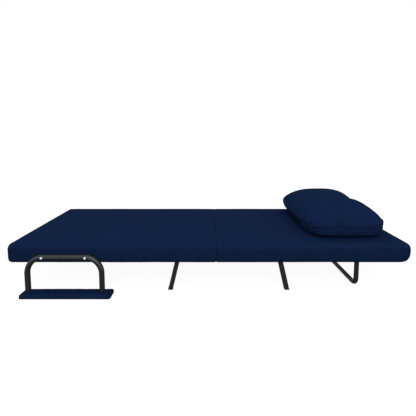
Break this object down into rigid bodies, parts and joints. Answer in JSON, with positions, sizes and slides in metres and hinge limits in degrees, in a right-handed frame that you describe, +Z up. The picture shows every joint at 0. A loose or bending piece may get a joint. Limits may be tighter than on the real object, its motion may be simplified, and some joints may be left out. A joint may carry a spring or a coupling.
{
  "type": "futon sofa bed",
  "caption": "Folding single futon: hinged mattress sections on a tube frame turn from flat bed to chair with armrests and reclining back.",
  "frame": {"origin": "on the floor, under the middle of the mattress box", "axes": "+X along the length towards the pillow and head leg, +Y to the sitter's right, +Z up"},
  "size_m": [1.93, 0.736, 0.394],
  "materials": {
    "mattress_fabric": "woven linen-look polyester, matt",
    "pad_fabric": "woven linen-look polyester, matt",
    "pillow_fabric": "woven linen-look polyester, matt",
    "foam": "open cell foam",
    "webbing": "elastic webbing",
    "board": "plywood",
    "black_plastic": "matt black",
    "white_plastic": "pale push-on caps",
    "zip": "coil zip",
    "zinc_steel": "zinc plated",
    "black_steel": "satin black powder coat"
  },
  "bodies": {
    "base_section": {"back_pins": "zinc_steel", "base_cover_front": "mattress_fabric", "base_cover_rear": "mattress_fabric", "base_flip_plate_left": "zinc_steel", "base_flip_plate_right": "zinc_steel", "base_foam_lower": "foam", "base_foam_upper": "foam", "base_frame": "black_steel", "base_rail_caps": "black_plastic", "base_webbing": "webbing", "flip_pins": "zinc_steel", "leg_bolts": "zinc_steel", "leg_feet": "black_plastic", "leg_front_left": "black_steel", "leg_front_right": "black_steel", "leg_nuts": "zinc_steel", "leg_rear_left": "black_steel", "leg_rear_right": "black_steel", "ratchet_sector_left": "zinc_steel", "ratchet_sector_right": "zinc_steel"},
    "foot_section": {"arm_bow_left": "black_steel", "arm_bow_right": "black_steel", "arm_pad_board_left": "board", "arm_pad_board_right": "board", "arm_pad_cover_left": "pad_fabric", "arm_pad_cover_right": "pad_fabric", "arm_pad_foam_left": "foam", "arm_pad_foam_right": "foam", "bow_bolt_caps": "white_plastic", "bow_bolts": "zinc_steel", "bow_nuts": "zinc_steel", "bow_spacers": "black_steel", "foot_cover": "mattress_fabric", "foot_flip_plate_left": "zinc_steel", "foot_flip_plate_right": "zinc_steel", "foot_foam_lower": "foam", "foot_foam_upper": "foam", "foot_frame": "black_steel", "foot_webbing": "webbing", "pad_screws": "zinc_steel"},
    "back_section": {"back_arm_left": "zinc_steel", "back_arm_right": "zinc_steel", "back_cover": "mattress_fabric", "back_foam_lower": "foam", "back_foam_upper": "foam", "back_frame": "black_steel", "back_webbing": "webbing", "head_leg": "black_steel", "head_leg_bolts": "zinc_steel", "head_leg_nuts": "zinc_steel", "pawl_pins": "zinc_steel"},
    "pawl_left": {"pawl_left": "zinc_steel"},
    "pawl_right": {"pawl_right": "zinc_steel"},
    "pillow": {"pillow_cover": "pillow_fabric", "pillow_filling": "foam", "pillow_zip": "zip"}
  },
  "joints": [
    {"name": "foot_flip", "type": "hinge", "parent": "base_section", "child": "foot_section", "pos_m": [-0.316, 0, 0.2285], "axis": [0, 1, 0], "range_deg": [0, 180]},
    {"name": "back_recline", "type": "hinge", "parent": "base_section", "child": "back_section", "pos_m": [0.4, 0, 0.2285], "axis": [0, -1, 0], "range_deg": [0, 75]},
    {"name": "pawl_left_swing", "type": "hinge", "parent": "back_section", "child": "pawl_left", "pos_m": [0.42347, -0.297, 0.18435], "axis": [0, 1, 0], "range_deg": [0, 11]},
    {"name": "pawl_right_swing", "type": "hinge", "parent": "back_section", "child": "pawl_right", "pos_m": [0.42347, 0.297, 0.18435], "axis": [0, 1, 0], "range_deg": [0, 11]},
    {"name": "pillow_lift", "type": "slide", "parent": "back_section", "child": "pillow", "axis": [0, 0, 1], "range_m": [0, 0.25]}
  ],
  "couplings": [
    {"joint": "pawl_right_swing", "follows": "pawl_left_swing", "ratio": 1}
  ]
}
